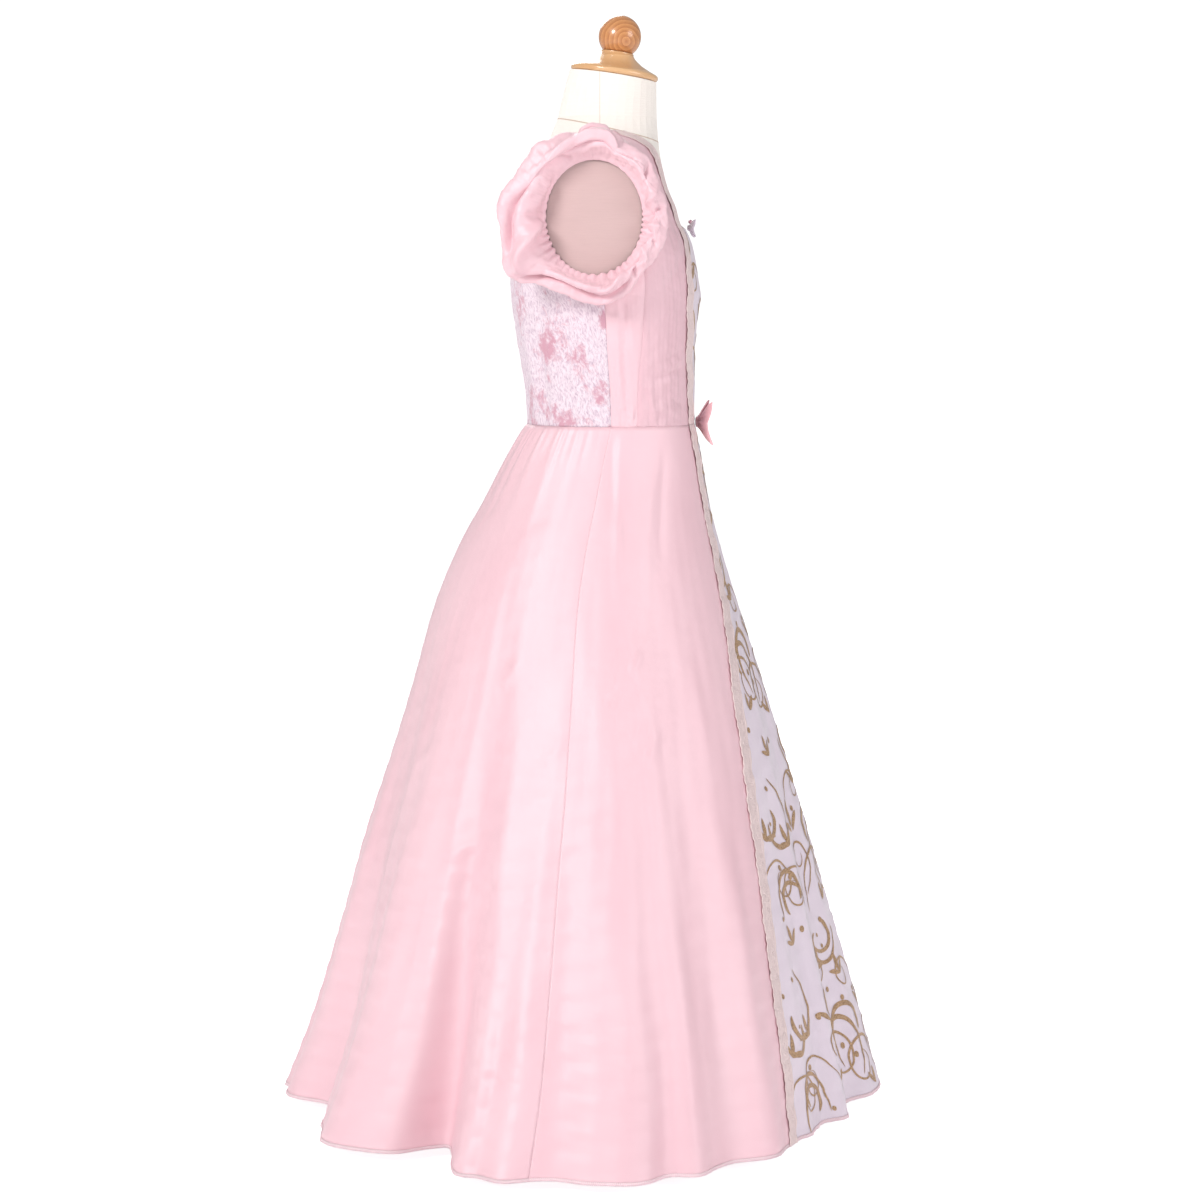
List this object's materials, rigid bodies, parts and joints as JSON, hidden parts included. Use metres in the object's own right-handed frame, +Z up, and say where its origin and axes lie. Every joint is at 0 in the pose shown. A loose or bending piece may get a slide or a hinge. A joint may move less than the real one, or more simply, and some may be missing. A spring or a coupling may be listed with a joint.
{
  "type": "princess costume dress on a child's dress form",
  "caption": "Long princess costume dress with puffed sleeves, lace-edged white front and bows, on a limbless child's dress form with a neck cap, pole and round base.",
  "frame": {"origin": "centre of the stand base's underside, on the floor", "axes": "+Z up; the dress faces -Y; the wearer's right side is at -X"},
  "size_m": [0.6974, 0.6048, 1.079],
  "materials": {
    "pink_satin": "soft satin sheen",
    "white_satin": "satin printed with gold glitter scrolls",
    "crushed_velvet": "crushed stretch velvet",
    "gold_lace": "lace trim with metallic thread",
    "coral_satin": "satin ribbon",
    "cream_jersey": "jersey stretched over a padded form",
    "turned_wood": "turned and varnished",
    "pale_wood": "turned and varnished",
    "brushed_steel": "brushed"
  },
  "bodies": {
    "root": {"bodice_back": "crushed_velvet", "bodice_centre": "white_satin", "bodice_front_R": "pink_satin", "bodice_front_L": "pink_satin", "bodice_side_R": "pink_satin", "bodice_side_L": "pink_satin", "bodice_lace_R": "gold_lace", "bodice_lace_L": "gold_lace", "sleeve_R": "pink_satin", "sleeve_L": "pink_satin", "skirt_lace_R": "gold_lace", "skirt_lace_L": "gold_lace", "skirt_front": "white_satin", "skirt_side_R": "pink_satin", "skirt_side_L": "pink_satin", "skirt_back": "pink_satin", "waist_bow_loop_L": "coral_satin", "waist_bow_loop_R": "coral_satin", "waist_bow_knot": "coral_satin", "neck_bow_loop_L": "white_satin", "neck_bow_loop_R": "white_satin", "neck_bow_knot": "white_satin", "form_torso": "cream_jersey", "form_arm_plate_R": "cream_jersey", "form_arm_plate_L": "cream_jersey", "cap_neck": "pale_wood", "cap_ball": "turned_wood", "stand_pole": "brushed_steel", "stand_base": "brushed_steel"}
  },
  "joints": []
}
